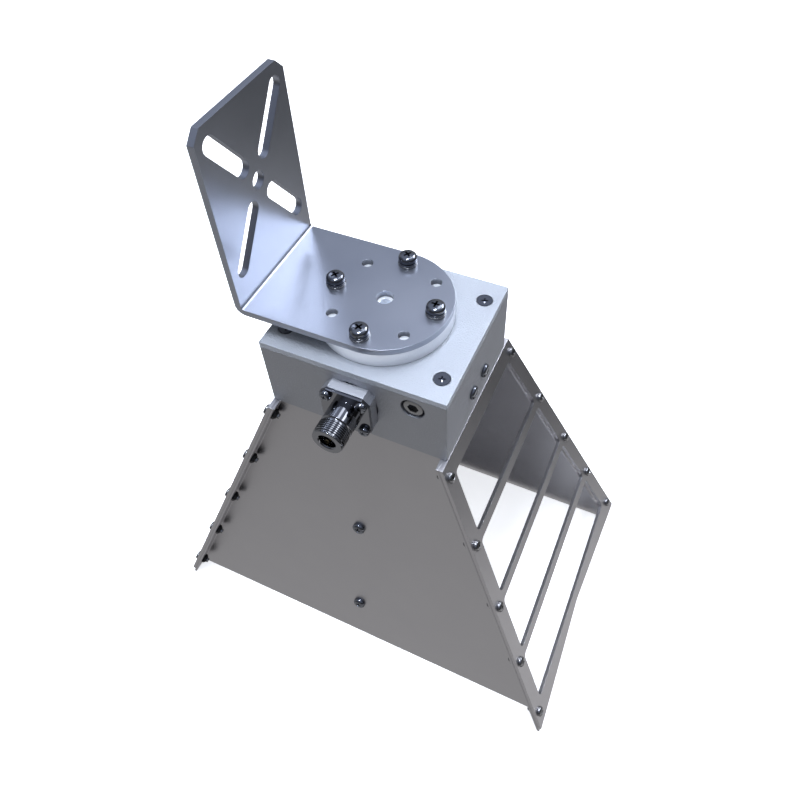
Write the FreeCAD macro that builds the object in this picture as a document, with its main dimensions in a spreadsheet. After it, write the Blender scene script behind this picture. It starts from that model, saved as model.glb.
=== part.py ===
import FreeCAD, Part
import math
import os

import Sketcher
from FreeCAD import Placement, Rotation, Vector

# Double-ridged horn antenna with a cavity box, an N-type coaxial jack and a mounting bracket.
# Frame: +Z up along the horn's axis, the mouth's rim on z = 0, the jack looks towards -Y,
# the bracket's leg stands on the -X side. All sizes are in millimetres.

doc = FreeCAD.newDocument("HornAntenna")
sheet = doc.addObject("Spreadsheet::Sheet", "Sizes")
os.makedirs("parts", exist_ok=True)


class Driving:
    """Driving dimensions; each one becomes a named cell of the sheet."""

    # Flare
    flare_height = 185.0  # mouth rim to the underside of the cavity box
    mouth_half_width = 125.65  # axis to a grille's outer face at its lower corners
    mouth_half_depth = 72.0  # axis to the outer face of a flare plate at the mouth
    plate_thickness = 1.5  # sheet of the two bent flare plates
    plate_inset = 1.5  # a flare plate's outer face behind the box face, at the box
    bend_radius = 0.4  # inside radius of the flanges' bends
    flange_top = 7.7  # flanges' width at the box, from the plate's outer face
    flange_foot = 9.5  # flanges' width at the grilles' lower corners

    # Side grilles; the windows' edges are shares of the grille's length, from the box down
    grille_overhang = 0.3  # grille's top edge outside the box's side face
    grille_foot = 3.8  # grille's lower corners above the mouth's rim
    grille_thickness = 2.0  # cut plate of the grilles
    grille_notch = 7.8  # rise of the shallow V in the bottom edge
    rail_width = 9.7  # side rails, measured along Y
    window_radius = 2.6  # corner radius of the windows
    share_a_top = 0.0477  # first window, upper edge
    share_a_end = 0.2502  # first window, lower edge
    share_b_top = 0.2797  # second window, upper edge
    share_b_end = 0.4746  # second window, lower edge
    share_c_top = 0.5025  # third window, upper edge
    share_c_end = 0.7025  # third window, lower edge
    share_d_top = 0.7329  # fourth window, upper edge
    share_d_end = 0.9202  # fourth window, lower edge

    # Screws of the grilles
    row_first = 7.6  # first screw row below the box, down the slope
    row_last = 10.6  # last screw row above the grille's lower corners
    row_count = 5  # rows on each rail
    row_edge = 4.25  # screw line inside the grille's side edge, along Y
    small_shank = 1.5  # radius of the M3 screws
    small_rim = 2.8  # radius of the M3 heads
    small_rise = 1.9  # height of the M3 heads
    small_length = 7.2  # length of the M3 screws under the head
    small_nut_flats = 5.5  # M3 nut across flats
    small_nut_height = 2.4  # height of the M3 nut
    hole_gap = 0.1  # clearance of a drilled hole round its screw
    thread_end = 0.4  # chamfer at a screw's end
    tap_spare = 1.0  # tapped depth beyond a screw's end
    overrun = 1.0  # how far a cutting tool runs past the material

    # Cavity box
    box_width = 96.0  # box along X
    box_depth = 79.0  # box along Y
    box_height = 44.0  # box along Z with its cover
    cover_thickness = 3.2  # cover plate
    box_side_wall = 12.0  # walls across X
    box_face_wall = 15.5  # walls across Y
    cover_screw_side = 7.8  # cover screws from the box's side faces
    cover_screw_face = 13.0  # cover screws from the box's front and back faces
    sunk_rim = 4.0  # radius of the M4 countersunk heads
    sunk_edge = 0.3  # straight rim of the M4 countersunk heads
    sunk_shank = 2.0  # radius of the M4 screws
    cover_screw_length = 14.0  # length of the M4 countersunk screws
    side_screw_y = 7.5  # side screws from the axis along Y
    side_screw_rise = 15.6  # side screws above the box's underside
    side_rim = 3.6  # radius of the side screws' heads
    side_rise = 2.4  # height of the side screws' heads
    side_shank = 2.0  # radius of the side screws
    side_length = 10.0  # length of the side screws
    socket_screw_side = 16.8  # socket head screw from the box's side face
    socket_screw_drop = 11.5  # socket head screw below the box's top
    socket_rim = 5.0  # radius of the M6 head
    socket_rise = 6.0  # height of the M6 head
    socket_break = 0.5  # chamfer round the M6 head
    socket_shank = 3.0  # radius of the M6 screw
    socket_length = 8.0  # length of the M6 screw under the head
    socket_bore = 5.9  # radius of the M6 head's counterbore
    socket_sink = 0.6  # M6 head below the box face
    socket_key = 5.0  # M6 hexagon across flats

    # Ridges and their screws
    ridge_width = 10.0  # ridges along X
    ridge_half_gap = 0.8  # half the gap between the ridges at the feed
    ridge_linear_share = 0.02  # straight part of the opening, per millimetre of height
    ridge_end = 5.0  # ridge's lower end above the mouth's rim
    ridge_end_height = 4.0  # ridge's height over the plate at its lower end
    ridge_top_gap = 11.0  # cavity between the ridges and the cover
    ridge_nose = 3.0  # radius of the ridges' upper nose
    ridge_screw_drop = 79.0  # upper ridge screw below the box
    ridge_screw_low = 32.3  # lower ridge screw above the mouth's rim
    ridge_rim = 3.7  # radius of the ridge screws' heads
    ridge_rise = 2.6  # height of the ridge screws' heads
    ridge_shank = 2.0  # radius of the ridge screws
    ridge_length = 9.0  # length of the ridge screws
    wall_screw_offset = 8.8  # screws that hold a ridge in the box, from the feed's axis
    wall_screw_length = 24.0  # length of the screws through the box's face walls

    # Coaxial jack
    feed_rise = 23.0  # jack's axis above the box's underside
    recess_margin = 0.45  # round recess beyond the adapter block's sides
    recess_depth = 2.0  # depth of that recess
    block_side = 25.4  # adapter block, square
    block_thickness = 5.5  # adapter block along Y
    block_chamfer = 3.4  # cut corners of the adapter block and the jack's flange
    jack_flange = 1.8  # thickness of the jack's flange
    jack_screw_inset = 3.55  # flange's screws from its sides
    jack_screw_rim = 2.9  # radius of the flange screws' heads
    jack_screw_rise = 2.7  # height of the flange screws' heads
    jack_screw_shank = 1.5  # radius of the flange screws
    jack_screw_length = 15.0  # length of the flange screws
    jack_reach = 25.6  # jack's rim in front of the box face
    jack_radius = 7.95  # jack's barrel
    jack_root = 9.0  # smooth root of the barrel, in front of the flange
    jack_groove = 1.2  # width of the relief groove behind the thread
    jack_groove_radius = 7.3  # radius at the bottom of the groove
    jack_groove_slope = 0.4  # length of the groove's sloping walls
    jack_lead = 0.9  # cone at the jack's rim
    jack_bore = 4.3  # radius of the jack's mouth
    jack_bore_depth = 9.2  # depth of the jack's mouth
    jack_mouth_cone = 0.6  # cone at the edge of the jack's mouth
    bead_radius = 3.5  # radius of the coaxial line's insulator
    contact_radius = 1.52  # radius of the centre contact
    contact_bore = 0.85  # radius of the centre contact's socket
    contact_back = 4.6  # contact's tip behind the jack's rim
    contact_tip = 0.3  # cone at the contact's tip
    contact_socket = 4.4  # depth of the centre contact's socket
    pin_bite = 7.0  # contact's rod inside the far ridge

    # Mounting disc and bracket
    disc_radius = 33.0  # disc and round end of the bracket
    disc_height = 7.6  # disc between the cover and the bracket
    disc_centre_hole = 2.6  # radius of the disc's centre hole
    bracket_thickness = 3.5  # bent plate of the bracket
    leg_gap = 10.7  # leg's inner face outside the box's side face
    leg_rise = 93.3  # top of the leg above the bracket's plate
    leg_chamfer = 5.3  # cut top corners of the leg
    bracket_bend = 1.6  # inside radius of the bracket's bend
    bracket_hole = 2.75  # radius of the holes in the bracket's plate
    bracket_hole_edge = 7.0  # those holes and the disc's from the round edge
    bracket_centre_hole = 4.2  # radius of the bracket's centre hole
    leg_pattern_rise = 51.0  # centre of the leg's slots above the bracket's plate
    leg_centre_hole = 4.3  # radius of the leg's centre hole
    slot_half_width = 4.2  # half the width of a slot
    slot_start = 13.5  # centre of a slot's near end from the pattern's centre
    slot_side = 8.64  # centre of a slot's far end from the leg's side edge
    slot_top = 9.82  # centre of a slot's far end below the leg's top

    # Screws of the bracket
    bracket_shank = 2.5  # radius of the M5 screws
    bracket_rim = 4.6  # radius of the M5 heads
    bracket_rise = 3.7  # height of the M5 heads
    bracket_grip = 5.5  # M5 thread inside the disc
    flat_washer_radius = 4.9  # radius of the flat washers
    flat_washer_height = 1.0  # thickness of the flat washers
    spring_washer_radius = 4.4  # radius of the spring washers
    spring_washer_height = 1.3  # thickness of the spring washers
    spring_washer_slit = 0.9  # slit of the spring washers
    washer_bore = 2.65  # radius of both washers' bores


class Sizes:
    """All the sheet's values by name, for the steps that need a number in code."""


S = Sizes()


def size(name, value, meaning):
    """Write one size into the sheet and name its cell."""
    row = len(vars(S)) + 1
    sheet.set("A%d" % row, meaning)
    sheet.set("B%d" % row, repr(float(value)))
    sheet.setAlias("B%d" % row, name)
    setattr(S, name, float(value))


for name, value in vars(Driving).items():
    if not name.startswith("_"):
        size(name, value, name.replace("_", " "))

# Sizes that follow from the driving ones
size("cover_under", S.flare_height + S.box_height - S.cover_thickness, "underside of the cover")
size("box_top", S.flare_height + S.box_height, "top of the box")
size("disc_top", S.box_top + S.disc_height, "top of the disc")
size("bracket_top", S.disc_top + S.bracket_thickness, "top of the bracket's plate")
size("leg_top", S.bracket_top + S.leg_rise, "top of the leg")
size("feed_height", S.flare_height + S.feed_rise, "height of the jack's axis")
size("plate_top_face", S.box_depth / 2 - S.plate_inset, "plate's outer face at the box")
size("grille_top_x", S.box_width / 2 + S.grille_overhang, "grille's outer face at the box")
GRILLE_RUN = S.mouth_half_width - S.grille_top_x
GRILLE_DROP = S.flare_height - S.grille_foot
TILT = math.atan2(GRILLE_RUN, GRILLE_DROP)
size("grille_length", math.hypot(GRILLE_RUN, GRILLE_DROP), "length down the slope at the corners")
size("grille_top_half", S.plate_top_face + S.flange_top, "half a grille's width at the box")
size("grille_bottom_half", S.mouth_half_depth + S.flange_foot, "the same at its lower corners")
size("row_pitch", (S.grille_length - S.row_first - S.row_last) / (S.row_count - 1),
     "from screw row to screw row")
for letter in "abcd":
    for part in ("top", "end"):
        share = getattr(S, "share_%s_%s" % (letter, part))
        size("window_%s_%s" % (letter, part), share * S.grille_length, "window's edge")
PLATE_LEAN = math.atan2(S.mouth_half_depth - S.plate_top_face, S.flare_height)
size("plate_along_y", S.plate_thickness / math.cos(PLATE_LEAN), "plate's thickness along Y")
size("grille_taper", (S.grille_bottom_half - S.grille_top_half) / S.grille_length,
     "grille's widening down the slope")
size("grille_bevel", S.grille_thickness * math.tan(TILT), "bevel of the grille's top end")
size("flange_top_x", S.grille_top_x - S.grille_thickness / math.cos(TILT),
     "flange's outer face at the box")
size("flange_bottom_x", S.flange_top_x + S.flare_height * math.tan(TILT),
     "flange's outer face at the mouth")
size("flange_along_x", S.plate_thickness / math.cos(TILT), "flange's thickness along X")
size("flange_bottom_y", S.grille_top_half + S.grille_taper * S.flare_height / math.cos(TILT),
     "flange's free edge at the mouth")
size("cover_screw_x", S.box_width / 2 - S.cover_screw_side, "cover screws from the axis along X")
size("cover_screw_y", S.box_depth / 2 - S.cover_screw_face, "cover screws from the axis along Y")
size("sunk_depth", S.sunk_rim - S.sunk_shank + S.sunk_edge, "height of the countersunk heads")
size("socket_screw_x", S.box_width / 2 - S.socket_screw_side, "socket head screw from the axis")
size("socket_screw_z", S.box_top - S.socket_screw_drop, "socket head screw above the rim")
size("ridge_screw_high", S.flare_height - S.ridge_screw_drop, "upper ridge screw above the rim")
size("recess_radius", S.block_side / 2 + S.recess_margin, "recess behind the adapter block")
size("jack_screw_half", S.block_side / 2 - S.jack_screw_inset, "half the flange screws' pitch")
size("jack_length", S.jack_reach - S.block_thickness - S.jack_flange, "jack's barrel")
size("jack_seat", S.box_depth / 2 + S.block_thickness + S.jack_flange, "front of the flange")
size("bead_length", S.jack_reach - S.jack_bore_depth + S.box_depth / 2 - S.ridge_half_gap,
     "insulator from the jack's mouth to the gap")
size("rod_length", S.jack_reach + S.box_depth / 2 + S.pin_bite, "jack's rim to the rod's far end")
size("leg_face", S.box_width / 2 + S.leg_gap + S.bracket_thickness, "leg's outer face")
size("bracket_pitch_radius", S.disc_radius - S.bracket_hole_edge, "pitch radius of the holes")
size("bracket_stack", S.flat_washer_height + S.spring_washer_height, "washers under a head")
size("bracket_length", S.bracket_stack + S.bracket_thickness + S.bracket_grip,
     "length of the M5 screws")
doc.recompute()

CURVE_STEPS = 14  # spans of the ridges' curve
SLIT_FIRST = 25.0  # direction of the first spring washer's slit, degrees
SLIT_STEP = 70.0  # turn from each spring washer to the next, degrees
PAN_WALL = 0.45  # upright part of a pan head, share of its height
PAN_SHOULDER_OUT = 0.86  # pan head's shoulder, share of its radius
PAN_SHOULDER_UP = 0.8  # pan head's shoulder, share of its height
PAN_CROWN = 0.55  # flat crown of a pan head, share of its radius

CELL = "Sizes."
X_AXIS = Vector(1, 0, 0)
Y_AXIS = Vector(0, 1, 0)
Z_AXIS = Vector(0, 0, 1)


def new_body(name):
    body = doc.addObject("PartDesign::Body", name)
    body.Label = name
    return body


def new_sketch(body, name, role, offset=None):
    """Sketch on one of the body's origin planes, moved along its normal by a cell formula."""
    sketch = body.newObject("Sketcher::SketchObject", name)
    plane = [item for item in body.Origin.OriginFeatures if item.Role == role][0]
    sketch.AttachmentSupport = (plane, [""])
    sketch.MapMode = "FlatFace"
    if offset:
        sketch.setExpression("AttachmentOffset.Base.z", offset)
    return sketch


def bind(sketch, kind, references, formula):
    """Add a dimension to the sketch and tie it to a cell formula."""
    index = sketch.addConstraint(Sketcher.Constraint(kind, *references, 1.0))
    sketch.setExpression("Constraints[%d]" % index, formula)


def tie_point(sketch, geometry, position, x_formula, y_formula):
    """Fix one point of the geometry by its two coordinates in the sketch."""
    bind(sketch, "DistanceX", (-1, 1, geometry, position), x_formula)
    bind(sketch, "DistanceY", (-1, 1, geometry, position), y_formula)


START_RADIUS = 10  # corners wait on a circle until their formulas place them


def outline(sketch, corners):
    """Closed straight-sided outline whose corners are pairs of cell formulas."""
    first = sketch.GeometryCount
    count = len(corners)
    start = []
    for index in range(count):
        angle = 2 * math.pi * index / count
        start.append(Vector(math.cos(angle), math.sin(angle), 0) * START_RADIUS)
    for index in range(count):
        sketch.addGeometry(Part.LineSegment(start[index], start[(index + 1) % count]), False)
    for index in range(count):
        following = first + (index + 1) % count
        sketch.addConstraint(Sketcher.Constraint("Coincident", first + index, 2, following, 1))
    for index, (x_formula, y_formula) in enumerate(corners):
        tie_point(sketch, first + index, 1, x_formula, y_formula)


def rectangle(sketch, half_x, half_y):
    outline(sketch, [("-" + half_x, "-" + half_y), (half_x, "-" + half_y),
                     (half_x, half_y), ("-" + half_x, half_y)])


def circles(sketch, centres, radius):
    """Circles of one radius at pairs of cell formulas."""
    for x_formula, y_formula in centres:
        index = sketch.addGeometry(Part.Circle(Vector(0, 0, 0), Z_AXIS, 1.0), False)
        tie_point(sketch, index, 3, x_formula, y_formula)
        bind(sketch, "Radius", (index,), radius)


def extrude(body, sketch, length, backwards=False):
    pad = body.newObject("PartDesign::Pad", sketch.Name + "Pad")
    pad.Profile = sketch
    pad.setExpression("Length", length)
    pad.Reversed = backwards
    doc.recompute()
    return pad


def cut(body, sketch, length=None, backwards=False):
    """Pocket of a given length, or through everything, that must take material away."""
    before = body.Shape.Volume
    pocket = body.newObject("PartDesign::Pocket", sketch.Name + "Pocket")
    pocket.Profile = sketch
    if length:
        pocket.setExpression("Length", length)
    else:
        pocket.Type = "ThroughAll"
    pocket.Reversed = backwards
    doc.recompute()
    if body.Shape.Volume > before - 1e-6:
        raise RuntimeError("%s takes nothing away" % sketch.Name)
    return pocket


def spin(body, sketch):
    """Turn the sketch once round its vertical axis."""
    turned = body.newObject("PartDesign::Revolution", sketch.Name + "Turn")
    turned.Profile = sketch
    turned.ReferenceAxis = (sketch, ["V_Axis"])
    turned.Angle = 360
    doc.recompute()
    return turned


def edges_where(shape, test):
    """Names of the shape's edges that pass the test."""
    return ["Edge%d" % (index + 1) for index, edge in enumerate(shape.Edges) if test(edge)]


def runs_along(edge, direction):
    """True for a straight edge parallel to the direction."""
    if not isinstance(edge.Curve, (Part.Line, Part.LineSegment)):
        return False
    run = edge.Vertexes[-1].Point.sub(edge.Vertexes[0].Point)
    return run.Length > 1e-6 and run.cross(direction).Length < 1e-6 * run.Length


def dress(body, kind, names, formula):
    """Fillet or chamfer on the body's named edges."""
    last = body.Tip
    feature = body.newObject("PartDesign::" + kind, body.Name + kind)
    feature.Base = (last, names)
    property_name = "Radius" if kind == "Fillet" else "Size"
    feature.setExpression(property_name, formula)
    body.Tip = feature
    doc.recompute()
    return feature


def turned_piece(name, half_section):
    """Piece turned round Z from a half section given as pairs of cell formulas."""
    body = new_body(name)
    sketch = new_sketch(body, name + "Section", "XZ_Plane")
    outline(sketch, half_section)
    spin(body, sketch)
    return body


def group(name, pattern, places):
    """Copies of one pattern piece, kept as separate solids of one sub-part."""
    copies = []
    for place in places:
        copy = pattern.Shape.copy()
        copy.Placement = place.multiply(copy.Placement)
        copies.append(copy)
    piece = doc.addObject("Part::Feature", name)
    piece.Shape = Part.makeCompound(copies)
    piece.Label = name
    return piece


def placed(point, axis, twist=0.0):
    """Placement that sets a pattern's +Z along the axis, after a twist about Z in degrees."""
    return Placement(point, Rotation(Z_AXIS, axis).multiply(Rotation(Z_AXIS, twist)))


def cylinders(radius, length, places):
    """Plain drills or rods, from each place towards its -Z side."""
    return Part.makeCompound(
        [Part.makeCylinder(radius, length, place.Base, place.Rotation.multVec(-Z_AXIS))
         for place in places])


def drilled(name, blank, drills):
    """Sub-part made from a blank and a compound of drills."""
    tool = doc.addObject("Part::Feature", name + "Drills")
    tool.Shape = drills
    piece = doc.addObject("Part::Cut", name)
    piece.Base = blank
    piece.Tool = tool
    piece.Label = name
    doc.recompute()
    return piece


# Patterns of the fasteners: the head's seat lies on z = 0 and the shank points down

def shank_end(shank, length):
    """Outline of a screw's end, from its axis to the side of its shank."""
    return [("0", "-" + length), (shank + " - Sizes.thread_end", "-" + length),
            (shank, "-" + length + " + Sizes.thread_end")]


def pan_screw(name, family):
    """Screw with a low domed head, drawn as two cones over a cylinder."""
    rim, rise = CELL + family + "_rim", CELL + family + "_rise"
    shank, length = CELL + family + "_shank", CELL + family + "_length"
    return turned_piece(name, shank_end(shank, length) + [
        (shank, "0"), (rim, "0"), (rim, "%s * %g" % (rise, PAN_WALL)),
        ("%s * %g" % (rim, PAN_SHOULDER_OUT), "%s * %g" % (rise, PAN_SHOULDER_UP)),
        ("%s * %g" % (rim, PAN_CROWN), rise), ("0", rise)])


def sunk_screw(name, length):
    """Countersunk M4 screw whose head's face lies on z = 0."""
    return turned_piece(name, shank_end("Sizes.sunk_shank", CELL + length) + [
        ("Sizes.sunk_shank", "-Sizes.sunk_depth"), ("Sizes.sunk_rim", "-Sizes.sunk_edge"),
        ("Sizes.sunk_rim", "0"), ("0", "0")])


small_screw = pan_screw("SmallScrew", "small")
side_screw = pan_screw("SideScrew", "side")
ridge_screw = pan_screw("RidgeScrew", "ridge")
jack_screw = pan_screw("JackScrew", "jack_screw")
bracket_screw = pan_screw("BracketScrew", "bracket")
cover_screw = sunk_screw("CoverScrew", "cover_screw_length")
wall_screw = sunk_screw("WallScrew", "wall_screw_length")


def ring(name, outer, inner, height):
    """Flat ring standing on z = 0."""
    body = new_body(name)
    sketch = new_sketch(body, name + "Outline", "XY_Plane")
    circles(sketch, [("0", "0")], CELL + outer)
    circles(sketch, [("0", "0")], CELL + inner)
    extrude(body, sketch, CELL + height)
    return body


flat_washer = ring("FlatWasher", "flat_washer_radius", "washer_bore", "flat_washer_height")
spring_washer = ring("SpringWasher", "spring_washer_radius", "washer_bore",
                     "spring_washer_height")
slit = new_sketch(spring_washer, "SpringSlit", "XY_Plane")
SLIT_END = "Sizes.spring_washer_radius + Sizes.overrun"
outline(slit, [("0", "-Sizes.spring_washer_slit / 2"), (SLIT_END, "-Sizes.spring_washer_slit / 2"),
               (SLIT_END, "Sizes.spring_washer_slit / 2"), ("0", "Sizes.spring_washer_slit / 2")])
cut(spring_washer, slit, backwards=True)

small_nut = doc.addObject("Part::Prism", "SmallNutBlank")
small_nut.Polygon = 6
small_nut.setExpression("Circumradius", "Sizes.small_nut_flats / sqrt(3)")
small_nut.setExpression("Height", "Sizes.small_nut_height")
doc.recompute()
nut_bore = doc.addObject("Part::Cylinder", "SmallNutBore")
nut_bore.setExpression("Radius", "Sizes.small_shank")
nut_bore.setExpression("Height", "Sizes.small_nut_height")
small_nut_piece = doc.addObject("Part::Cut", "SmallNut")
small_nut_piece.Base = small_nut
small_nut_piece.Tool = nut_bore
doc.recompute()


# Where things sit on the flare

def grille_place(side, down, along_y, depth, inwards=False):
    """Place on a grille: down its slope, along Y, under its outer face; +Z looks outwards."""
    normal = Vector(side * math.cos(TILT), 0, math.sin(TILT))
    slope = Vector(side * math.sin(TILT), 0, -math.cos(TILT))
    top = Vector(side * S.grille_top_x, 0, S.flare_height)
    point = top + slope * down - normal * depth + Y_AXIS * along_y
    turn = Rotation(Y_AXIS, slope * -side, normal, "ZXY")
    if inwards:
        turn = turn.multiply(Rotation(X_AXIS, 180))
    return Placement(point, turn)


def grille_rows(side, face, depth, inwards=False):
    """Places of the five screws on one rail of a grille; face is -1 in front, +1 behind."""
    places = []
    for row in range(int(S.row_count)):
        down = S.row_first + S.row_pitch * row
        along_y = face * (S.grille_top_half + S.grille_taper * down - S.row_edge)
        places.append(grille_place(side, down, along_y, depth, inwards))
    return places


def plate_place(face, height, depth=0.0):
    """Place on the axis line of a flare plate's outer face; +Z looks outwards."""
    lean = math.tan(PLATE_LEAN)
    outer = S.mouth_half_depth - lean * height
    normal = Vector(0, face * math.cos(PLATE_LEAN), math.sin(PLATE_LEAN))
    return placed(Vector(0, face * outer, height) - normal * depth, normal)


def wall_place(face, across, height, depth=0.0):
    """Place on the box's front (-1) or back (+1) face; +Z looks outwards."""
    normal = Vector(0, face, 0)
    return placed(Vector(across, face * (S.box_depth / 2 - depth), height), normal)


# Flare plates: a channel cut from one block by another, with the walls' thickness between them

def wedge(name, low_x, high_x, low_y, high_y):
    """Tapered block from the mouth to the box; the y pairs run outwards from the axis."""
    block = doc.addObject("Part::Wedge", name)
    block.Ymin = 0
    block.setExpression("Ymax", "Sizes.flare_height")
    block.setExpression("Xmin", "-(" + low_x + ")")
    block.setExpression("Xmax", low_x)
    block.setExpression("X2min", "-(" + high_x + ")")
    block.setExpression("X2max", high_x)
    block.setExpression("Zmin", low_y[0])
    block.setExpression("Zmax", low_y[1])
    block.setExpression("Z2min", high_y[0])
    block.setExpression("Z2max", high_y[1])
    block.Placement = Placement(Vector(0, 0, 0), Rotation(X_AXIS, 90))
    return block


def flare_plate(name, face):
    """Bent plate with a flange along each side; built in front and turned behind for +1."""
    outside = wedge(name + "Outside", "Sizes.flange_bottom_x", "Sizes.flange_top_x",
                    ("Sizes.mouth_half_depth - Sizes.plate_along_y", "Sizes.flange_bottom_y"),
                    ("Sizes.plate_top_face - Sizes.plate_along_y", "Sizes.grille_top_half"))
    inside = wedge(name + "Inside", "Sizes.flange_bottom_x - Sizes.flange_along_x",
                   "Sizes.flange_top_x - Sizes.flange_along_x",
                   ("Sizes.mouth_half_depth", "Sizes.flange_bottom_y + Sizes.overrun"),
                   ("Sizes.plate_top_face", "Sizes.grille_top_half + Sizes.overrun"))
    channel = doc.addObject("Part::Cut", name + "Channel")
    channel.Base = outside
    channel.Tool = inside
    doc.recompute()

    def bend(edge, inner):
        """True for one of the two long bend lines, inside or outside of the sheet."""
        reach = S.plate_top_face - (0.0 if inner else S.plate_along_y)
        tops = [v.Point for v in edge.Vertexes if abs(v.Point.z - S.flare_height) < 1e-3]
        return (len(edge.Vertexes) == 2 and len(tops) == 1
                and abs(tops[0].y + reach) < 1e-3)

    edges = []
    for index, edge in enumerate(channel.Shape.Edges):
        if bend(edge, True):
            edges.append((index + 1, S.bend_radius, S.bend_radius))
        if bend(edge, False):
            outer_radius = S.bend_radius + S.plate_thickness
            edges.append((index + 1, outer_radius, outer_radius))
    bent = doc.addObject("Part::Fillet", name + "Bent")
    bent.Base = channel
    bent.Edges = edges
    doc.recompute()
    turn = Rotation(Z_AXIS, 0 if face < 0 else 180)
    bent.Placement = Placement(Vector(0, 0, 0), turn)
    doc.recompute()
    reach = S.grille_thickness + S.plate_thickness + S.overrun
    drills = []
    for side in (-1, 1):
        drills.append(cylinders(S.small_shank + S.hole_gap, reach, grille_rows(side, face, 0.0)))
    for height in (S.ridge_screw_high, S.ridge_screw_low):
        place = plate_place(face, height, -S.overrun)
        drills.append(cylinders(S.ridge_shank + S.hole_gap, S.plate_thickness + 2 * S.overrun,
                                [place]))
    return drilled(name, bent, Part.makeCompound(drills))


front_flare_plate = flare_plate("front_flare_plate", -1)
back_flare_plate = flare_plate("back_flare_plate", 1)


# Side grilles: sketch x is the object's Y, sketch y runs up the slope

def grille(name, side):
    body = new_body(name)
    edge = new_sketch(body, name + "Edge", "XY_Plane")
    top_half = "(Sizes.grille_top_half - Sizes.grille_taper * Sizes.grille_bevel)"
    outline(edge, [
        ("-Sizes.grille_bottom_half", "-Sizes.grille_length"),
        ("0", "-Sizes.grille_length + Sizes.grille_notch"),
        ("Sizes.grille_bottom_half", "-Sizes.grille_length"),
        (top_half, "Sizes.grille_bevel"), ("-" + top_half, "Sizes.grille_bevel")])
    extrude(body, edge, "Sizes.grille_thickness", backwards=True)
    bevel = new_sketch(body, name + "Bevel", "YZ_Plane", "-Sizes.grille_top_half - Sizes.overrun")
    beyond = "Sizes.grille_bevel + Sizes.overrun"
    outline(bevel, [("0", "0"), ("Sizes.grille_bevel", "-Sizes.grille_thickness"),
                    (beyond, "-Sizes.grille_thickness"), (beyond, "Sizes.overrun"),
                    ("0", "Sizes.overrun")])
    cut(body, bevel, "2 * Sizes.grille_top_half + 2 * Sizes.overrun", backwards=True)
    windows = new_sketch(body, name + "Windows", "XY_Plane")
    for letter in "abcd":
        top, end = "Sizes.window_%s_top" % letter, "Sizes.window_%s_end" % letter
        half = "(Sizes.grille_top_half - Sizes.rail_width + Sizes.grille_taper * %s)"
        outline(windows, [("-" + half % top, "-" + top), ("-" + half % end, "-" + end),
                          (half % end, "-" + end), (half % top, "-" + top)])
    cut(body, windows)
    window_ends = [getattr(S, "window_%s_%s" % (letter, part))
                   for letter in "abcd" for part in ("top", "end")]

    def corner(edge):
        down = -edge.Vertexes[0].Point.y
        near = [end for end in window_ends if abs(end - down) < 1e-3]
        rail = S.grille_top_half - S.rail_width + S.grille_taper * down
        return (runs_along(edge, Z_AXIS) and bool(near)
                and abs(abs(edge.Vertexes[0].Point.x) - rail) < 1e-3)

    dress(body, "Fillet", edges_where(body.Shape, corner), "Sizes.window_radius")
    holes = new_sketch(body, name + "Holes", "XY_Plane")
    places = []
    for row in range(int(S.row_count)):
        down = "(Sizes.row_first + %d * Sizes.row_pitch)" % row
        along = "(Sizes.grille_top_half + Sizes.grille_taper * %s - Sizes.row_edge)" % down
        places += [("-" + along, "-" + down), (along, "-" + down)]
    circles(holes, places, "Sizes.small_shank + Sizes.hole_gap")
    cut(body, holes)
    normal = Vector(side * math.cos(TILT), 0, math.sin(TILT))
    upwards = Vector(-side * math.sin(TILT), 0, math.cos(TILT))
    turn = Rotation(upwards.cross(normal), upwards, normal, "ZYX")
    body.Placement = Placement(Vector(side * S.grille_top_x, 0, S.flare_height), turn)
    doc.recompute()
    return body


left_grille = grille("left_grille", -1)
right_grille = grille("right_grille", 1)

SIDES = {"left": -1, "right": 1}
for word, side in SIDES.items():
    on_face = grille_rows(side, -1, 0.0) + grille_rows(side, 1, 0.0)
    group(word + "_grille_screws", small_screw, on_face)
    sheet_depth = S.grille_thickness + S.plate_thickness
    behind = grille_rows(side, -1, sheet_depth, True) + grille_rows(side, 1, sheet_depth, True)
    flats_to_plate = Placement(Vector(0, 0, 0), Rotation(Z_AXIS, 30))
    group(word + "_grille_nuts", small_nut_piece,
          [place.multiply(flats_to_plate) for place in behind])


# Cavity box, open below and closed by the cover plate

box_blank = new_body("BoxBlank")
plan = new_sketch(box_blank, "BoxPlan", "XY_Plane", "Sizes.flare_height")
rectangle(plan, "Sizes.box_width / 2", "Sizes.box_depth / 2")
extrude(box_blank, plan, "Sizes.box_height - Sizes.cover_thickness")
hollow = new_sketch(box_blank, "BoxHollow", "XY_Plane", "Sizes.cover_under")
rectangle(hollow, "(Sizes.box_width / 2 - Sizes.box_side_wall)",
          "(Sizes.box_depth / 2 - Sizes.box_face_wall)")
cut(box_blank, hollow)
taps = new_sketch(box_blank, "BoxTaps", "XY_Plane", "Sizes.cover_under")
FOUR_SIGNS = [("-", "-"), ("", "-"), ("", ""), ("-", "")]
circles(taps, [(a + "Sizes.cover_screw_x", b + "Sizes.cover_screw_y") for a, b in FOUR_SIGNS],
        "Sizes.sunk_shank")
cut(box_blank, taps, "Sizes.cover_screw_length - Sizes.cover_thickness + Sizes.tap_spare")
recess = new_sketch(box_blank, "BoxRecess", "XZ_Plane", "Sizes.box_depth / 2")
circles(recess, [("0", "Sizes.feed_height")], "Sizes.recess_radius")
cut(box_blank, recess, "Sizes.recess_depth")
line_hole = new_sketch(box_blank, "BoxLineHole", "XZ_Plane", "Sizes.box_depth / 2")
circles(line_hole, [("0", "Sizes.feed_height")], "Sizes.bead_radius")
cut(box_blank, line_hole, "Sizes.box_face_wall")
counterbore = new_sketch(box_blank, "BoxCounterbore", "XZ_Plane", "Sizes.box_depth / 2")
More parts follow.
